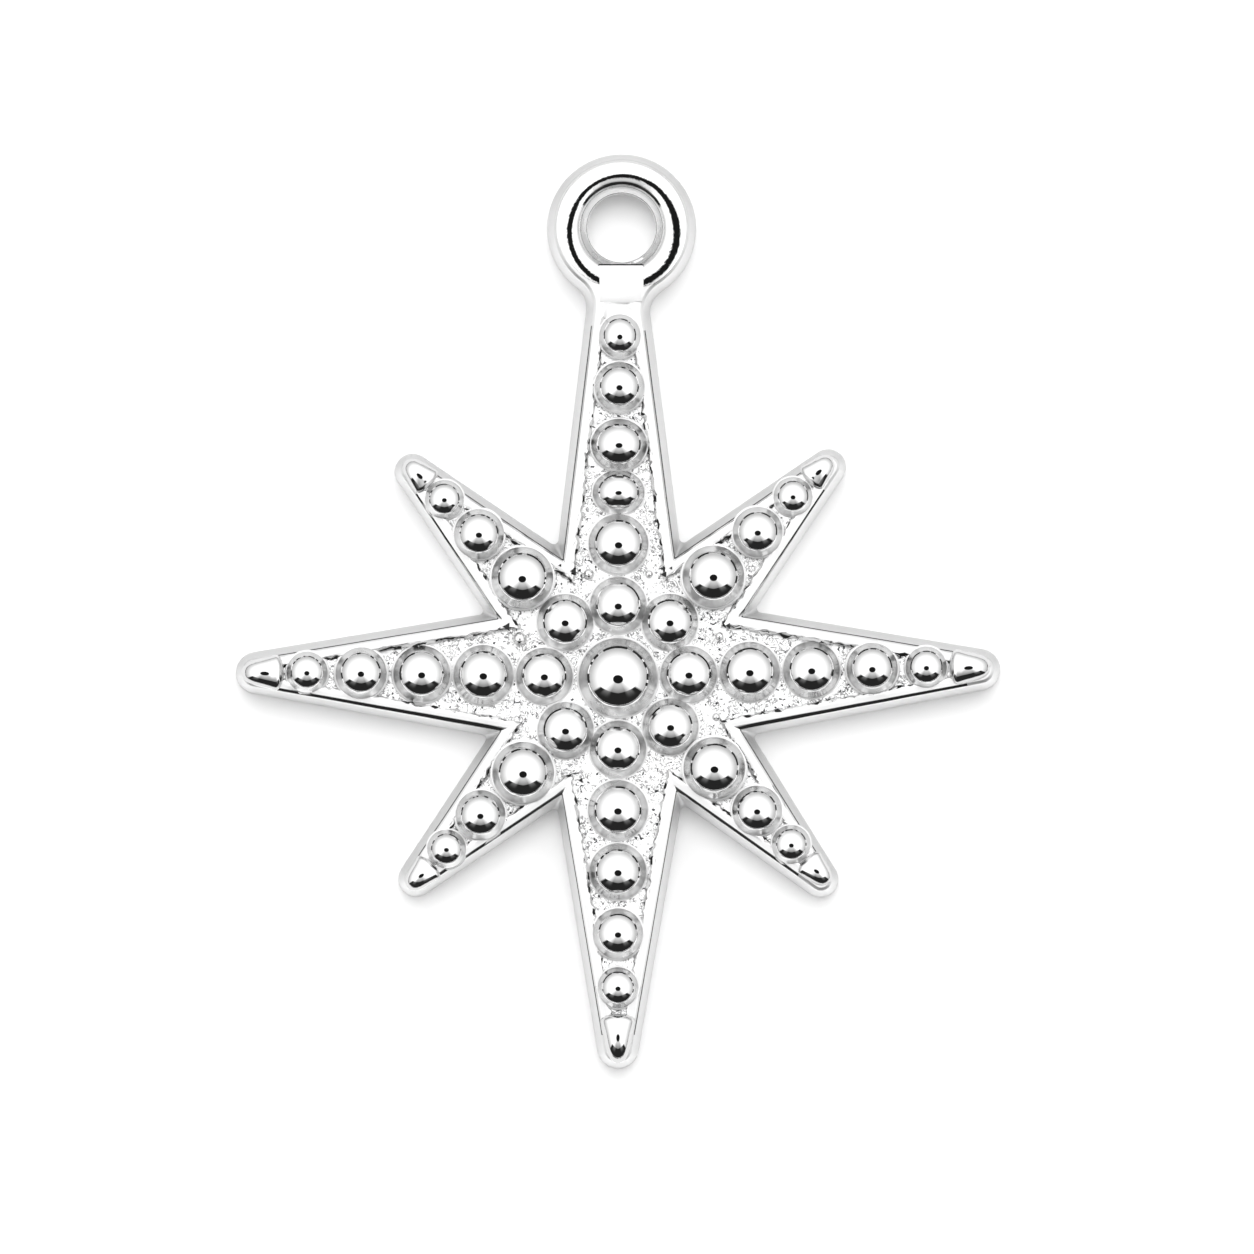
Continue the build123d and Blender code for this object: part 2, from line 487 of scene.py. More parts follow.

# Relief of an upright side in mm, and the paler colour painted on it where it faces the front, a painted
# light
side_relief = (0.30, 0.003)
painted_front_light_colour = "F4F4F4"


def silver_finish(name, low, high, bump_size, bump_height, dark_colour, pale_colour):
    """Silver plate with a roughness from low to high, and relief of a size and a height in mm.
    Gives the material, the place, the colour and the shader."""
    material = empty_material(name)
    tree = material.node_tree
    place = add(tree, "ShaderNodeTexCoord").outputs["Object"]
    cloud = speckle(tree, place, cloud_size, 3)
    tone = blend(tree, cloud, linear(dark_colour), linear(pale_colour))
    relief = add(tree, "ShaderNodeBump", {"Height": speckle(tree, place, bump_size, 4),
                                          "Distance": bump_height * MM, "Strength": 1.0})
    shader = add(tree, "ShaderNodeBsdfPrincipled", {
        "Base Color": tone, "Metallic": 1.0, "Roughness": cloud.spread(*cloud_edge, low, high),
        "Normal": relief.outputs["Normal"]})
    add(tree, "ShaderNodeOutputMaterial", {"Surface": shader.outputs["BSDF"]})
    return material, place, tone, shader


def plain_finish(*look):
    return silver_finish(*look)[0]


def field_finish(name):
    """The sunk field: satin plate over the skin of the casting, with painted shade and dark reflections as
    fine creases and pits.
    """
    material, place, tone, shader = silver_finish(name, 0.46, 0.58, 0.10, 0.012, "E2E2E2", "F0F0F0")
    tree = material.node_tree
    crease = speckle(tree, place, crease_size, 2, crease_twist)
    line = (crease - 0.5).worked("ABSOLUTE").spread(*crease_edge)
    patch = speckle(tree, place, patch_size, 2).spread(*patch_edge)
    pits = speckle(tree, place, pit_size, 1).spread(*pit_edge)
    # Painted shade and dark reflections: creases and pits mixed into the colour
    painted_dark_share = (line * patch * crease_strength).worked("MAXIMUM", pits)
    tree.links.new(blend(tree, painted_dark_share, tone, linear(painted_dark_colour)), shader.inputs["Base Color"])
    return material


def side_finish(name, low, high, dark_colour, pale_colour, from_y, to_y):
    """Upright sides: a duller plate, painted paler as they turn from one Y of the normal to the
    other, a painted light on the sides that face the front."""
    look = (name, low, high, *side_relief, dark_colour, pale_colour)
    material, _, tone, shader = silver_finish(*look)
    tree = material.node_tree
    outward = add(tree, "ShaderNodeTexCoord").outputs["Normal"]
    outward_y = Number(tree, add(tree, "ShaderNodeSeparateXYZ", {"Vector": outward}).outputs["Y"])
    # Painted light: paler where the side faces the front
    front_lit_share = outward_y.spread(from_y, to_y)
    tree.links.new(blend(tree, front_lit_share, tone, linear(painted_front_light_colour)), shader.inputs["Base Color"])
    return material


# Bright silver plate over polished casting: mirror sharp, with the faint ripple of hand polishing
bright_silver = plain_finish("bright_silver_plate", 0.015, 0.03, 0.5, 0.0006, "D2D2D2", "D8D8D8")
# The same plate over the grainy as-cast field
satin_silver = field_finish("satin_silver_field")
# Rims and neck, plated as cast: smooth to the touch, but too fine in the grain to mirror
rim_silver = plain_finish("satin_silver_rim", 0.44, 0.52, 0.20, 0.0015, "D4D4D4", "DCDCDC")
# Tumbled back: a soft sheen with fine grain
tumbled_silver = plain_finish("tumbled_silver_back", 0.20, 0.32, 0.14, 0.004, "CACACA", "D6D6D6")
# Side walls, drawn along the mould: a duller plate, painted paler to the front as painted light
wall_silver = side_finish("drawn_silver_wall", 0.34, 0.44, "B4B4B4", "C0C0C0", 0.55, -0.75)
# Flanks of the beads: the polishing wheel doesn't reach them, so they stay dull; painted paler
# to the front as painted light
flank_silver = side_finish("dull_silver_flank", 0.22, 0.36, "B2B2B2", "CECECE", 0.05, -0.85)
# Countersink and bore of the eyelet: a paler plate, painted light that brightens the shaded bore
bore_silver = plain_finish("painted_light_silver_bore", 0.24, 0.32, 0.30, 0.0015, "E6E6E6", "EEEEEE")
# Crown of the eyelet: bright, with the fine ripple of the casting's skin
crown_silver = plain_finish("rippled_silver_crown", 0.02, 0.04, 0.12, 0.0038, "D2D2D2", "D8D8D8")
# Painted dark reflections and shade in creases, pits and under edges
painted_dark = plain_finish("painted_dark_shade_and_reflection", 0.45, 0.60, 0.10, 0.003, "242424", "3A3A3A")
finishes = [bright_silver, satin_silver, rim_silver, tumbled_silver, wall_silver, crown_silver,
            flank_silver, bore_silver, painted_dark]
BRIGHT, SATIN, RIM, TUMBLED, WALL, CROWN, FLANK, BORE, PAINTED_DARK = range(9)


# Body

# Levels of the outer wall from the back up to the rim: distance in from the outline at the tips
# and at the roots of the long arms, where the bevel under the rim is wider, and height
wall_levels = (
    (0.060, 0.060, 0.000), (0.018, 0.018, 0.018), (0.000, 0.000, 0.060), (0.068, 0.068, 0.460),
    (0.136, 0.136, 0.860), (0.204, 0.204, 1.260), (0.238, 0.238, 1.545), (0.246, 0.246, 1.580),
    (0.256, 0.256, 1.606), (0.268, 0.266, 1.626), (0.280, 0.278, 1.640), (0.286, 0.284, 1.646),
    (0.374, 0.412, 1.709), (0.380, 0.420, 1.712), (0.388, 0.430, 1.714), (0.404, 0.450, 1.715),
    (0.520, 0.560, 1.718), (0.640, 0.640, 1.724), (0.760, 0.760, 1.730),
)
# The bevel narrows between these distances out, and by the share on the upper diagonals and top
bevel_root = 5.5
bevel_end = 12.0
upper_bevel = -0.6
# Share of its reach past which a point's smaller coordinate takes it off the long arms
diagonal_slope = 0.5
# Ripple of the wall: its waves and how far it goes, and its upright share above the foot
body_ripple = (1.1, 0.006)
ripple_foot = 0.03
ripple_up = 0.6
# Z of the normal below which a face is the back or the wall, and above which it is flat
back_slope = -0.9
wall_slope = 0.60
flat_slope = 0.985
# Where the tip of an arm starts, in tip radii before its end, and its greatest half width
tip_zone = 1.9
tip_zone_half_width = 3
# Heights between which a painted shade, a dark line, lies under the rim's edge, on sides that don't face the
# front
wall_crease = (1.605, 1.648)
wall_crease_front = -0.3


def bevelled_outline(at_tips, at_roots):
    """The outline moved in by one distance at the tips and by another at the roots of the side
    and foot arms."""
    points = []
    for narrow, wide in zip(outline(at_tips), outline(at_roots)):
        along = max(abs(narrow.x), -narrow.y)
        if narrow.y > neck_distance:
            share = 0
        elif min(abs(narrow.x), abs(narrow.y)) > along * diagonal_slope:
            share = upper_bevel if narrow.y > 0 else 0
        else:
            share = held((bevel_end - along) / (bevel_end - bevel_root), 0, 1)
        points.append(narrow.lerp(wide, share))
    return points


def at_tip(place):
    """True beside the nose at an arm's end, and on the neck and the eyelet."""
    for arm in arms:
        reach = turned(place.x, place.y, -arm.turn)
        start = neck_distance if arm.name == "top" else arm.length - tip_zone * arm.tip
        if reach.x > start and abs(reach.y) < tip_zone_half_width:
            return True
    return False


def make_body():
    bm = bmesh.new()
    stacked(bm, [(bevelled_outline(*insets), height) for *insets, height in wall_levels])
    for vert in bm.verts:
        move = ripple(vert.co, *body_ripple)
        move.z *= 0 if vert.co.z < ripple_foot else ripple_up
        vert.co += move
        vert.co.y -= lean(vert.co.z)
    body = as_object(bm, "body", BRIGHT)
    for face in body.data.polygons:
        tip = at_tip(face.center)
        if face.normal.z < back_slope:
            face.material_index = TUMBLED
        elif face.normal.z < wall_slope:
            face.material_index = WALL
        elif face.normal.z > flat_slope or tip:
            face.material_index = RIM
        # Painted shade: a dark line under the rim's edge on sides that don't face the front
        creased = wall_crease[0] < face.center.z < wall_crease[1]
        if creased and face.normal.y > wall_crease_front and not tip:
            face.material_index = PAINTED_DARK
    return body


# Sunk field

# Side of the sunk field from its foot up over its rounded edge: distance in from the star's
# outline, and height
recess_levels = (
    (0.770, recess_floor), (0.765, 1.500), (0.755, 1.580), (0.738, 1.630), (0.712, 1.668),
    (0.680, 1.695), (0.645, 1.714), (0.600, 1.728), (0.540, 1.760), (0.540, 2.000),
)
# Painted dark dashes on that side, standing for its dark reflections: their heights, their size and
# the noise value above which there is one
recess_crease = (1.59, 1.70)
dash_size = 0.33
dash_level = 0.12
# Grain of the field's floor, broad and fine: size and height
broad_grain = (0.42, 0.020)
fine_grain = (0.17, 0.014)
fine_grain_shift = Vector((7, 3, 1))
# The floor's rise where the room beside an arm's axis falls from one half width to the other
field_rise = 0.15
narrow_room = (0.85, 0.40)
field_rise_start = root_distance + 1
field_rise_half_width = 1.5
# The grid of the floor: half its side, its step, how far it goes into the rim and into the body
grid_reach = 14.5
grid_step = 0.061
grid_overlap = 0.15
grid_sink = 0.1


def make_recess():
    bm = bmesh.new()
    stacked(bm, [(field_outline(inset), height) for inset, height in recess_levels])
    shifted(bm, 0, -front_lean, 0)
    recess = as_object(bm, "recess", BRIGHT)

    def dashed(face):
        x, y, height = face.center
        in_dash = noise.noise(Vector((x, y, 0)) / dash_size) > dash_level
        return recess_crease[0] < height < recess_crease[1] and in_dash

    # Painted dark reflections: dashes along the field's edge
    paint(recess, PAINTED_DARK, dashed)
    return recess


def field_sides(arm, reach):
    """How far the field goes to the left and the right at a distance along an arm."""
    if arm.name == "top":
        run, end_half = neck_distance - root_distance, neck_half_width
    else:
        run, end_half = arm.length - arm.tip - root_distance, arm.tip
    past_root = (reach - root_distance) / run
    return [half + (end_half - half) * past_root - field_margin for half in (arm.left, arm.right)]


def in_field(x, y, margin):
    """True inside the star's field outline grown by margin."""
    for arm in arms:
        local = turned(x, y, -arm.turn)
        reach = plate_end if arm.name == "top" else arm.length - arm.tip
        if 0 <= local.x <= reach:
            left, right = field_sides(arm, local.x)
            if -right - margin <= local.y <= left + margin:
                return True
    return False


def field_relief(x, y):
    """Height of the grainy field above its mean."""
    place = Vector((x, y, 0))
    broad = noise.noise(place / broad_grain[0]) * broad_grain[1]
    fine = noise.noise(place / fine_grain[0] + fine_grain_shift) * fine_grain[1]
    return broad + fine


def field_lift(x, y):
    """The field rises where an arm gets narrow."""
    for arm in arms:
        local = turned(x, y, -arm.turn)
        on_arm = local.x > field_rise_start and abs(local.y) < field_rise_half_width
        if on_arm and arm.name != "top":
            return field_rise * eased(min(field_sides(arm, local.x)), *narrow_room)
    return 0


def make_field():
    """Grainy slab that fills the bottom of the recess; its edges end inside the rim."""
    bm = bmesh.new()
    steps = round(2 * grid_reach / grid_step)
    bmesh.ops.create_grid(bm, x_segments=steps, y_segments=steps, size=grid_reach)
    outside = [v for v in bm.verts if not in_field(v.co.x, v.co.y, grid_overlap)]
    bmesh.ops.delete(bm, geom=outside, context="VERTS")
    loose = [v for v in bm.verts if not v.link_faces]
    bmesh.ops.delete(bm, geom=loose, context="VERTS")
    skin = list(bm.faces) + list(bm.edges)
    grown = bmesh.ops.extrude_face_region(bm, geom=skin, use_keep_orig=True)["geom"]
    upper = [item for item in grown if isinstance(item, bmesh.types.BMVert)]
    for vert in bm.verts:
        vert.co.z = recess_floor - grid_sink
    for vert in upper:
        x, y = vert.co.xy
        vert.co.z = field_height + field_relief(x, y) + field_lift(x, y)
    return as_object(bm, "field", SATIN)


# Beads

# A bead's domed top: its ball's radius as a share of the bead's, and its steps and edge in degrees
dome_radius = 1.02
dome_step = 4.4
dome_steps = 11
dome_edge = 45.2
# Below the dome, as shares of the radius: the crease round it, painted dark in its upper part as a
# painted reflection, the flank and the fillet at its foot (distance out, and height)
bead_lip = 0.764
bead_crease = ((0.727, 0.672), (bead_lip, 0.688), (0.774, 0.670))
bead_flank = ((0.822, 0.500), (0.878, 0.310), (0.932, 0.155), (0.980, 0.060))
bead_foot = ((1.000, 0.040), (1.038, 0.032), (1.050, -0.010))
# Skirt that sinks each bead into the field: how far it stands out at its top, and how deep it is
skirt_edge = 0.02
skirt_depth = 0.32
bead_steps = 60
# Chatter of the lip: how far it goes, its waves a radius, and how its corners are told
bead_chatter = 0.024
chatter_waves = 6
lip_tolerance = 0.002
bead_ripple = (0.8, 0.003)
# Painted dark reflection in the crease: its patches a radius, the noise value above which there is
# one, and how far to the front they go
crease_dark_waves = 5.5
crease_dark_level = -0.05
crease_dark_front = -0.22
# Beads too wide for the field sit higher, on the rim, as the radius passes the room beside it
bead_lift = 0.20
bead_lift_from = -0.14
bead_lift_to = 0.04
# Share of an arm's length at which its beads have their whole shift aside
whole_shift = 0.4


def bead_profile(radius):
    """Half a profile of a bead: a ball's top with a crease round it, a steep flank, its foot and
    a skirt below."""
    tilts = [math.radians(dome_step * step) for step in range(dome_steps)]
    tilts.append(math.radians(dome_edge))
    dome = [(radius * dome_radius * math.sin(tilt), radius * (1 - dome_radius * (1 - math.cos(tilt))))
            for tilt in tilts]
    sides = [(radius * out, radius * up) for out, up in bead_crease + bead_flank + bead_foot]
    foot = sides[-1][0]
    return dome + sides + [(foot + skirt_edge, -skirt_edge), (foot, -skirt_depth), (0, -skirt_depth)]


def make_bead(place, height, radius, stretch, seed):
    bm = bmesh.new()
    turned_solid(bm, bead_profile(radius), bead_steps)
    for vert in bm.verts:
        out = vert.co.to_2d().length / radius
        if abs(out - bead_lip) < lip_tolerance:
            spot = Vector((vert.co.x, vert.co.y, seed)) / radius
            chatter = noise.noise_vector(spot * chatter_waves)
            vert.co.z += radius * bead_chatter * chatter.z / 2
            vert.co.x *= 1 + bead_chatter * chatter.x
            vert.co.y *= 1 + bead_chatter * chatter.x
        move = ripple(vert.co, *bead_ripple, shift=seed)
        vert.co = Vector((vert.co.x, vert.co.y / stretch, vert.co.z)) + move
        vert.co += Vector((place.x, place.y, height))
    bead = as_object(bm, "bead", BRIGHT)
    for face in bead.data.polygons:
        across, up = (face.center.to_2d() - place) / radius
        middle = Vector((across, up * stretch)).length
        if middle > bead_flank[-1][0]:
            face.material_index = RIM
        elif middle > bead_crease[-1][0]:
            face.material_index = FLANK
        elif middle > bead_crease[0][0] and up > crease_dark_front:
            spot = Vector((face.center.x, face.center.y, seed)) / radius
            if noise.noise(spot * crease_dark_waves) > crease_dark_level:
                # Painted dark reflection in the crease's upper part
                face.material_index = PAINTED_DARK
    return bead


def make_beads():
    beads = [make_bead(bead_middle, field_height, bead_radius, 1, 0)]
    for arm in arms:
        way = arm_end(arm) - bead_middle
        for index, (distance, size) in enumerate(arm.beads):
            stretch = top_bead_stretch.get(index, 1) if arm.name == "top" else 1
            radius = bead_radius * size * math.sqrt(stretch)
            shift = turned(arm.along, arm.aside * min(distance / whole_shift, 1), arm.turn)
            room = min(field_sides(arm, way.length * distance))
            lift = bead_lift * eased(radius, room + bead_lift_from, room + bead_lift_to)
            place = bead_middle + way * distance + shift
            beads.append(make_bead(place, field_height + lift, radius, stretch, len(beads) * 5))
    return beads


# Noses

# Radius as a share of the tip's, the gap at the arm's end and the height of the nose's axis
nose_share = 0.86
nose_end_margin = 0.24
nose_height = 1.60
# Seen from above, as shares of the radius and the length: the bulge of the blunt end and how
# square it is, how much the sides draw in, and how late they close
nose_bulge = 0.46
nose_squareness = 0.82
nose_taper = 0.42
nose_closing = 6
# Seen from the side: where the ridge is highest, how high that is as a share of the length, and
# the reach and drop of the ridge's arc, and how fast it falls at the back
nose_top = 0.36
nose_ridge = 0.394
nose_arc_reach = 1.12
nose_arc_drop = 0.56
nose_back_fall = 0.75
# Steps of the blunt end, of the body and around, and the last share that the ridge is worked out at
nose_end_steps = 12
nose_body_steps = 16
nose_steps = 52
nose_last_share = 0.995
# Z of the normal below which a nose's face is its dull flank
nose_flank_slope = 0.40


def nose_width(share):
    """Half width of a nose at a share of its length, as a share of its radius."""
    return (1 - nose_taper * share) * math.sqrt(1 - share ** nose_closing)


def nose_rise(share):
    """Height of a nose's ridge, an arc, at a share of its length and as a share of that length."""
    way = (share - nose_top) / (1 - nose_top) / nose_arc_reach
    if way < 0:
        way *= nose_back_fall
    return nose_ridge * (1 - (1 - math.sqrt(1 - way * way)) / nose_arc_drop)


def make_nose(arm):
    """Bullet-shaped drop in an arm's tip, blunt towards the middle of the star."""
    radius = arm.tip * nose_share
    lead = arm.tip * (foot_nose_lead if arm.name == "foot" else nose_lead)
    length = arm.tip + lead - nose_end_margin
    angles = [math.pi / 2 * step / nose_end_steps for step in range(nose_end_steps + 1)]
    back = [(radius * math.sin(a) ** nose_squareness, -radius * nose_bulge * math.cos(a))
            for a in angles]
    shares = [math.sin(math.pi / 2 * step / nose_body_steps) for step in range(1, nose_body_steps)]
    body = [(radius * nose_width(share), length * share) for share in shares]
    bm = bmesh.new()
    turned_solid(bm, back + body + [(0, length)], nose_steps, axis=(1, 0, 0))
    for vert in bm.verts:
        share = held(vert.co.x / length, 0, nose_last_share)
        vert.co.z *= nose_rise(share) * length / (nose_width(share) * radius)
    place = turned(arm.length - arm.tip - lead + arm.along, arm.aside, arm.turn)
    spot = Matrix.Translation((place.x, place.y - front_lean, nose_height))
    turn = Matrix.Rotation(math.radians(arm.turn), 4, "Z")
    bmesh.ops.transform(bm, matrix=spot @ turn, verts=bm.verts)
    nose = as_object(bm, "nose", BRIGHT)
    paint(nose, FLANK, lambda face: face.normal.z < nose_flank_slope)
    return nose


def make_noses():
    return [make_nose(arm) for arm in arms if arm.name != "top"]


# Eyelet

# Section of the eyelet: distance from the hole's axis, and height. None is the crown, which
# crown_height works out for each side of the ring.
eyelet_section = (
    ((1.285, 0.000), (1.260, 0.012), (1.250, 0.035), (1.250, 0.850), (1.254, 0.980), (1.264, 1.090),
     (1.278, 1.165), (1.294, 1.230), (1.335, 1.320))
    + tuple((radius, None) for radius in (1.400, 1.450, 1.500, 1.510, 1.545, 1.572))
    + tuple((1.596 + 0.028 * step, None) for step in range(29))
    + ((2.398, 1.780), (2.412, 1.750), (2.430, 1.690), (2.466, 1.540), (2.494, 1.420), (2.400, 1.340),
       (2.400, 0.600), (1.720, 0.000))
)
eyelet_steps = 120
# Where the crown's corners wait until crown_height has their height
crown_marker = 3.0
# Radius and height of the outer edge in the section, and what of the section follows the crown
crown_edge = 2.38
crown_edge_height = 1.792
crown_edge_from = 2.3
crown_foot = 1.6
# Crest of the crown, and how much its radius grows near the neck and to the right
crest_radius = 1.95
crest_shift = 0.11
crest_skew = 0.03
crest_height = 1.88
crest_drop = 0.13
# Curve of the crest in degrees a mm, how much flatter it is away from the ring's top and to the
# right, and the slope beside it in degrees, with its rise at the neck
crest_bend = 96
crest_bend_drop = 38
crest_bend_skew = 0.05
crest_slope = 13
crest_slope_rise = 2
# Degrees from the neck between which each of these changes
neck_change = (150, 30)
shift_change = (110, 25)
bend_change = (170, 90)
# The crown falls away inside this radius with this curve, down to the countersink
inner_edge = 1.73
inner_curve = 2.4
countersink_radius = 1.572
# Creases painted dark as painted reflections: round the countersink and round the bore
eyelet_creases = ((1.500, 1.510), (1.278, 1.294))
eyelet_ripple = (0.8, 0.004)
eyelet_wall_slope = 0.30
# What the body loses to the eyelet: radius and heights
eyelet_bore = 1.70
bore_foot = -1
bore_top = 3
bore_steps = 96


def crown_height(radius, azimuth, aside):
    """Height of the eyelet's crown. The azimuth is in degrees from the neck, aside how far to the
    right of the axis. The crest is narrow at the top of the ring, and gets flatter, wider and
    lower towards the neck."""
    near_neck = eased(azimuth, *neck_change)
    crest = crest_radius + crest_shift * eased(azimuth, *shift_change) + crest_skew * aside
    bend = math.radians(crest_bend - crest_bend_drop * eased(azimuth, *bend_change))
    bend *= 1 - crest_bend_skew * aside
    steepest = math.radians(crest_slope + crest_slope_rise * near_neck)
    away = abs(radius - crest)
    flat = steepest / bend
    drop = bend * away * away / 2 if away < flat else steepest * away - steepest * flat / 2
    edge = max(inner_edge - radius, 0)
    return crest_height - crest_drop * near_neck - drop - inner_curve * edge * edge


def make_eyelet():
    bm = bmesh.new()
    section = [(radius, crown_marker if height is None else height) for radius, height in eyelet_section]
    turned_solid(bm, section, eyelet_steps)
    for vert in bm.verts:
        radius = vert.co.to_2d().length
        azimuth = abs(math.degrees(math.atan2(vert.co.x, -vert.co.y)))
        if vert.co.z > crown_marker - 0.5:
            vert.co.z = crown_height(radius, azimuth, vert.co.x)
        elif vert.co.z > crown_foot and radius > crown_edge_from:
            vert.co.z += crown_height(crown_edge, azimuth, vert.co.x) - crown_edge_height
        if vert.co.z > crown_foot:
            vert.co += ripple(vert.co, *eyelet_ripple)
        vert.co.y -= lean(vert.co.z)
    shifted(bm, *eyelet_middle, 0)
    eyelet = as_object(bm, "eyelet", CROWN)
    for face in eyelet.data.polygons:
        middle = face.center.to_2d() - eyelet_middle
        middle.y += lean(face.center.z)
        if any(inner < middle.length < outer for inner, outer in eyelet_creases):
            # Painted dark reflection in the creases
            face.material_index = PAINTED_DARK
        elif middle.length < countersink_radius:
            face.material_index = BORE
        elif face.normal.z < eyelet_wall_slope:
            face.material_index = WALL
    combine(eyelet, [make_neck_cut()], "DIFFERENCE")
    return eyelet


def make_eyelet_bore():
    bm = bmesh.new()
    section = ((0, bore_foot), (eyelet_bore, bore_foot), (eyelet_bore, bore_top), (0, bore_top))
    turned_solid(bm, section, bore_steps)
    shifted(bm, *eyelet_middle, 0)
    return as_object(bm, "bore", BRIGHT)


# Neck

# Plate and tongue: half widths at the near and far ends, and each end's place and height
plate_half_widths = (0.80, 0.84)
plate_near = (plate_end, 1.735)
plate_far = (15.02, 1.715)
tongue_half_widths = (0.62, 0.80)
tongue_near = (plate_end - 0.62, 1.705)
tongue_far = (plate_end + 0.10, 1.715)
plate_foot = 0.8
plate_edge = 0.06
# What flattens the eyelet's crown over the neck: half widths at its foot and top, place and
# height of its foot at both ends, and its top
cut_half_widths = (0.80, 0.92)
cut_near = (13.6, 1.71)
cut_far = (15.06, 1.69)
cut_top = 2.3


def slanted_block(name, half_widths, near, far):
    """Block with its top sloping from the near end to the far one; near and far are (y, top)."""
    bm = bmesh.new()
    bmesh.ops.create_cube(bm, size=2)
    middle = eyelet_shift * near[0] / eyelet_distance
    for vert in bm.verts:
        y, top = far if vert.co.y > 0 else near
        half = half_widths[1] if vert.co.y > 0 else half_widths[0]
        vert.co = Vector((middle + vert.co.x * half, y, top if vert.co.z > 0 else plate_foot))
    edges = [e for e in bm.edges if all(v.co.z > plate_foot for v in e.verts)]
    bmesh.ops.bevel(bm, geom=edges, offset=plate_edge, affect="EDGES", segments=3, profile=0.5,
                    material=-1)
    return as_object(bm, name, RIM)


def make_neck_plate():
    plate = slanted_block("plate", plate_half_widths, plate_near, plate_far)
    # Painted shade on the plate's faces that face the eyelet
    paint(plate, PAINTED_DARK, lambda face: face.normal.y > 0.2)
    tongue = slanted_block("tongue", tongue_half_widths, tongue_near, tongue_far)
    return [plate, tongue]


def make_neck_cut():
    bm = bmesh.new()
    bmesh.ops.create_cube(bm, size=2)
    for vert in bm.verts:
        half = cut_half_widths[1] if vert.co.z > 0 else cut_half_widths[0]
        y, foot = cut_far if vert.co.y > 0 else cut_near
        vert.co = Vector((eyelet_shift + vert.co.x * half, y, cut_top if vert.co.z > 0 else foot))
    return as_object(bm, "neck_cut", RIM)


# Strays of the mould, and grains painted dark as painted shade of pits

# Small beads of metal left on the field: across, up and radius
stray_beads = (
    (-1.95, 3.64, 0.17), (-1.07, 3.64, 0.20), (-3.60, 1.26, 0.26), (1.14, 3.64, 0.15), (3.72, 1.36, 0.16),
    (-1.55, 3.75, 0.12), (-2.45, -2.90, 0.15), (2.50, -3.10, 0.16), (-3.95, 1.55, 0.12), (3.60, -1.60, 0.15),
)
# How high their middles lie over the field, as a share of the radius
stray_bead_rise = 0.2

# Grains painted dark as painted shade of pits, with a flat side to the front, where the arms meet:
# across, up and radius
painted_pit_grains = (
    (-1.62, 3.74, 0.10), (-4.07, 1.70, 0.12), (1.69, 3.62, 0.08), (-1.40, 3.78, 0.05), (-2.12, 3.95, 0.05),
    (4.05, 1.74, 0.08), (-3.75, 1.62, 0.06), (1.95, 3.85, 0.05), (-1.35, -3.92, 0.07), (-4.35, 1.62, 0.05),
    (-12.30, 0.00, 0.07),
)
# Their height over the field and the rim, their depth, their radii at the foot and the top as
# shares, and how far inside the field's edge one stands on the field
grain_on_field = 0.06
grain_on_rim = 0.03
grain_depth = 0.5
grain_foot = 2.0
grain_top = 1.4
grain_margin = -0.10


def make_stray_beads():
    beads = []
    for x, y, radius in stray_beads:
        bm = bmesh.new()
        bmesh.ops.create_icosphere(bm, subdivisions=3, radius=radius)
        shifted(bm, x, y, field_height + radius * stray_bead_rise)
        beads.append(as_object(bm, "stray_bead", BRIGHT))
    return beads


def make_painted_pit_grains():
    """Three-sided prisms."""
    grains = []
    for x, y, radius in painted_pit_grains:
        bm = bmesh.new()
        on_field = in_field(x, y, grain_margin)
        top = field_height + grain_on_field if on_field else rim_height + grain_on_rim
        bmesh.ops.create_cone(bm, cap_ends=True, segments=3, radius1=radius * grain_foot,
                              radius2=radius * grain_top, depth=grain_depth)
        bmesh.ops.rotate(bm, matrix=Matrix.Rotation(math.radians(30), 3, "Z"), verts=bm.verts)
        if sum(1 for v in bm.verts if v.co.z < 0 and v.co.y < 0) < 2:
            bmesh.ops.rotate(bm, matrix=Matrix.Rotation(math.radians(60), 3, "Z"), verts=bm.verts)
        shifted(bm, x, y, top - grain_depth / 2)
        # Painted shade: the grains wear the painted dark finish
        grains.append(as_object(bm, "painted_pit_grain", PAINTED_DARK))
    return grains


# Casting

# Doubles are merged within the first of these distances that keeps the mesh closed
merge_distances = (0.0002, 0.00005, 0.00001, 0)
# Edges that bend more than this many degrees stay sharp
sharp_angle = 42


def open_edges(bm):
    return sum(len(edge.link_faces) != 2 for edge in bm.edges)


def merged(mesh):
    """The mesh with its doubles merged and its slivers gone, without opening a seam."""
    for distance in merge_distances:
        bm = bmesh.new()
        bm.from_mesh(mesh)
        if distance:
            bmesh.ops.remove_doubles(bm, verts=bm.verts, dist=distance)
            bmesh.ops.dissolve_degenerate(bm, edges=bm.edges, dist=distance)
        if not distance or not open_edges(bm):
            return bm
        bm.free()


def make_casting():
    casting = make_body()
    combine(casting, [make_recess(), make_eyelet_bore()], "DIFFERENCE")
    combine(casting, [make_field()], "UNION")
    combine(casting, [make_eyelet()] + make_neck_plate(), "UNION")
    combine(casting, make_beads() + make_noses() + make_stray_beads() + make_painted_pit_grains(), "UNION")
    bm = merged(casting.data)
    bmesh.ops.scale(bm, vec=(MM, MM, MM), verts=bm.verts)
    for vert in bm.verts:
        for axis in range(3):
            vert.co[axis] = held(vert.co[axis], cad_low[axis], cad_high[axis])
    print("casting", len(bm.verts), "verts", sum(len(f.verts) - 2 for f in bm.faces), "triangles",
          open_edges(bm), "open edges")
    bm.to_mesh(casting.data)
    bm.free()
    casting.name = "star_pendant_casting"
    casting.data.name = casting.name
    casting.data.set_sharp_from_angle(angle=math.radians(sharp_angle))
    return casting


casting = make_casting()
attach(casting, "root")
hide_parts("star_pendant")


# Floor

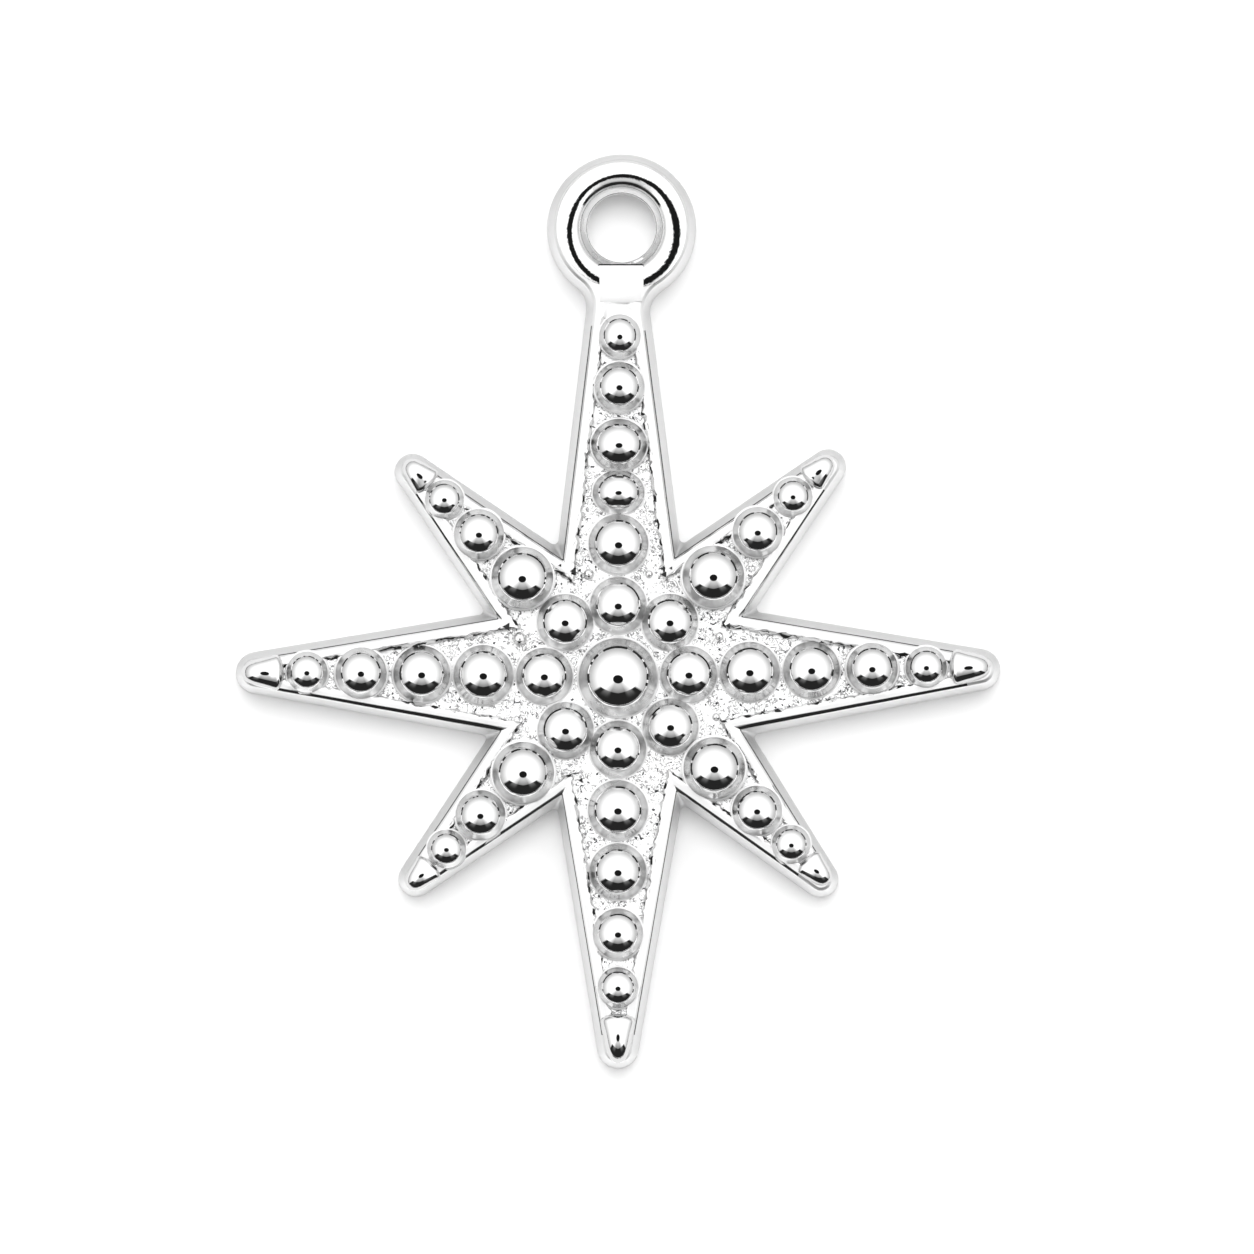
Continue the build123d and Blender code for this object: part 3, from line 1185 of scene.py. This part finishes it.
# Half the card's side: past its edge the beads see the dark gap under the tent
floor_reach = 42
floor_drop = 0.01


def make_floor():
    bm = bmesh.new()
    bmesh.ops.create_grid(bm, x_segments=1, y_segments=1, size=floor_reach * MM)
    shifted(bm, 0, 0, -floor_drop * MM)
    mesh = bpy.data.meshes.new("pale_floor")
    bm.to_mesh(mesh)
    bm.free()
    material = empty_material("matt_white_card")
    tree = material.node_tree
    shader = add(tree, "ShaderNodeBsdfPrincipled", {"Base Color": linear("E6E6E6"), "Roughness": 0.9})
    add(tree, "ShaderNodeOutputMaterial", {"Surface": shader.outputs["BSDF"]})
    mesh.materials.append(material)
    floor = bpy.data.objects.new("pale_floor", mesh)
    bpy.context.scene.collection.objects.link(floor)


make_floor()


# Light: a white tent all round, with the camera's hole overhead and a dark opening in front. Angles
# are in degrees, and a pair is an edge and how soft it is.

# Brightness of the tent by the angle off straight up
tent_peak = 1.75
tent_levels = ((0, 1.75), (45, 1.75), (55, 1.66), (60, 1.56), (65, 1.44), (70, 1.28), (75, 1.13),
               (80, 0.97), (85, 0.82), (90, 0.70), (91, 0.70), (180, 0.70))
# Lamp behind the roof, leaning to the back
lamp_lean = -24
lamp_reach = (16, 5)
lamp_level = 5.0
# The camera's hole: lean to the front, reach across and along, and its soft edge as a share
hole_lean = 6.8
hole_across = 14.2
hole_along = 12.0
hole_softness = 0.08
hole_level = 0.016
# Opening in the front wall, in shares of the way to the wall: its half width, its sill, its lid
# and how much the lid rises to the sides
opening_side = (1.80, 0.35)
opening_sill = (0.035, 0.02)
opening_lid = (0.93, 0.08)
opening_lid_rise = 0.18
opening_level = 0.028
# Flap that lets light into the opening's upper corners: from and to which side, and how it
# brightens upwards
flap_start = (0.52, 0.22)
flap_finish = (1.10, 0.25)
flap_foot = 0.30
flap_slope = 1.25
flap_curve = 1.5
flap_level = 0.30
# Darker sector of the roof between the hole and the opening, and its brightness by the angle
sector_half = (38, 26)
sector_foot = 60
sector_foot_softness = 0.1
sector_tilts = (24, 46)
sector_levels = (0.95, 0.34)
# Gap between the card and the tent, broken by its folds
gap_start = 90.2
gap_softness = 0.004
fold_waves = 5.0
fold_edge = (0.46, 0.06)
gap_level = 0.03


def tent_light(tilt):
    """The tent's own brightness."""
    ramp = add(tilt.tree, "ShaderNodeValToRGB", {"Fac": tilt / math.pi})
    elements = ramp.color_ramp.elements
    while len(elements) < len(tent_levels):
        elements.new(0.5)
    for element, (degrees, level) in zip(elements, tent_levels):
        element.position = degrees / 180
        element.color = (level / tent_peak,) * 3 + (1,)
    return Number(tilt.tree, ramp.outputs["Color"]) * tent_peak


def lamp_light(tree, way, rays):
    """The lamp, which the roof hides from the camera's reflections in the silver."""
    angle = math.radians(lamp_lean)
    toward = (0.0, -math.sin(angle), math.cos(angle))
    made = add(tree, "ShaderNodeVectorMath", {0: way, 1: toward}, operation="DOT_PRODUCT")
    off_axis = Number(tree, made.outputs["Value"]).worked("ARCCOSINE")
    undiffused = Number(tree, rays["Diffuse Depth"]).worked("LESS_THAN", 0.5)
    first_glint = undiffused * rays["Is Glossy Ray"]
    disc = off_axis.short_of(*map(math.radians, lamp_reach))
    return (disc - disc * first_glint) * lamp_level


def camera_hole(across, front, up):
    """Oval patch of the roof, in front of straight up."""
    angle = math.radians(hole_lean)
    wide = across / math.sin(math.radians(hole_across))
    long = (front * math.cos(angle) - up * math.sin(angle)) / math.sin(math.radians(hole_along))
    far = (wide * wide + long * long).worked("SQRT")
    return far.short_of(1.0, hole_softness) * up.past(0.5, 0.1)


def front_opening(side, front, up):
    """The opening in the front wall: where it is, and how bright its flap leaves it."""
    ahead = front.worked("MAXIMUM", 0.001)
    reach_side = side / ahead
    reach_up = up / ahead
    lid, lid_softness = opening_lid
    under_lid = (reach_up - reach_side * opening_lid_rise).short_of(lid, lid_softness)
    opening = reach_side.short_of(*opening_side) * reach_up.past(*opening_sill) * under_lid
    rise = ((reach_up - flap_foot) * flap_slope).worked("MAXIMUM", 0.0).worked("POWER", flap_curve)
    flap = reach_side.past(*flap_start) * reach_side.short_of(*flap_finish) * rise
    return opening * front.past(0.01, 0.01), flap * flap_level + opening_level


def roof_sector(side, front, tilt):
    """The darker sector of the roof: where it is, and how bright."""
    azimuth = side.worked("ARCTAN2", front)
    sector = azimuth.short_of(*map(math.radians, sector_half))
    sector *= tilt.short_of(math.radians(sector_foot), sector_foot_softness)
    return sector, tilt.spread(*map(math.radians, sector_tilts), *sector_levels)


def folded_gap(tree, way, tilt):
    flat_way = add(tree, "ShaderNodeVectorMath", {0: way, 1: (1.0, 1.0, 0.0)}, operation="MULTIPLY")
    folds = add(tree, "ShaderNodeTexNoise", {"Vector": flat_way.outputs["Vector"],
                                             "Scale": fold_waves, "Detail": 1})
    below = tilt.past(math.radians(gap_start), gap_softness)
    return below * Number(tree, folds.outputs["Fac"]).past(*fold_edge)


def make_tent():
    world = bpy.data.worlds.new("light_tent")
    bpy.context.scene.world = world
    world.use_nodes = True
    tree = world.node_tree
    tree.nodes.clear()
    way = add(tree, "ShaderNodeTexCoord").outputs["Generated"]
    rays = add(tree, "ShaderNodeLightPath").outputs
    parts = add(tree, "ShaderNodeSeparateXYZ", {"Vector": way}).outputs
    across, along, up = [Number(tree, parts[axis]) for axis in "XYZ"]
    side, front, tilt = across.worked("ABSOLUTE"), along * -1.0, up.worked("ARCCOSINE")

    light = tent_light(tilt) + lamp_light(tree, way, rays)
    light = light.mixed(folded_gap(tree, way, tilt), gap_level)
    light = light.mixed(*roof_sector(side, front, tilt))
    light = light.mixed(*front_opening(side, front, up))
    light = light.mixed(camera_hole(across, front, up), hole_level)

    # The camera itself sees plain white
    tent = add(tree, "ShaderNodeBackground", {"Color": light, "Strength": 1.0})
    plain = add(tree, "ShaderNodeBackground", {"Color": (1, 1, 1, 1), "Strength": 1.0})
    both = add(tree, "ShaderNodeMixShader", {0: rays["Is Camera Ray"], 1: tent.outputs[0],
                                             2: plain.outputs[0]})
    add(tree, "ShaderNodeOutputWorld", {"Surface": both.outputs[0]})


make_tent()
bpy.context.scene.view_settings.view_transform = "Standard"


# Camera: straight above, a little towards the foot, with a long lens

camera_place = Vector((0.33, -10.45, 500)) * MM
camera_aim = Vector((0.33, 1.73, 0)) * MM
view_width = 46.15 * MM
sensor_width = 36


def make_camera():
    data = bpy.data.cameras.new("camera")
    camera = bpy.data.objects.new("camera", data)
    bpy.context.scene.collection.objects.link(camera)
    sight = camera_aim - camera_place
    data.sensor_width = sensor_width
    data.lens = sensor_width * sight.length / view_width
    data.clip_start = 0.01
    data.clip_end = 10
    camera.location = camera_place
    camera.rotation_mode = "QUATERNION"
    camera.rotation_quaternion = sight.to_track_quat("-Z", "Y")
    bpy.context.scene.camera = camera


make_camera()
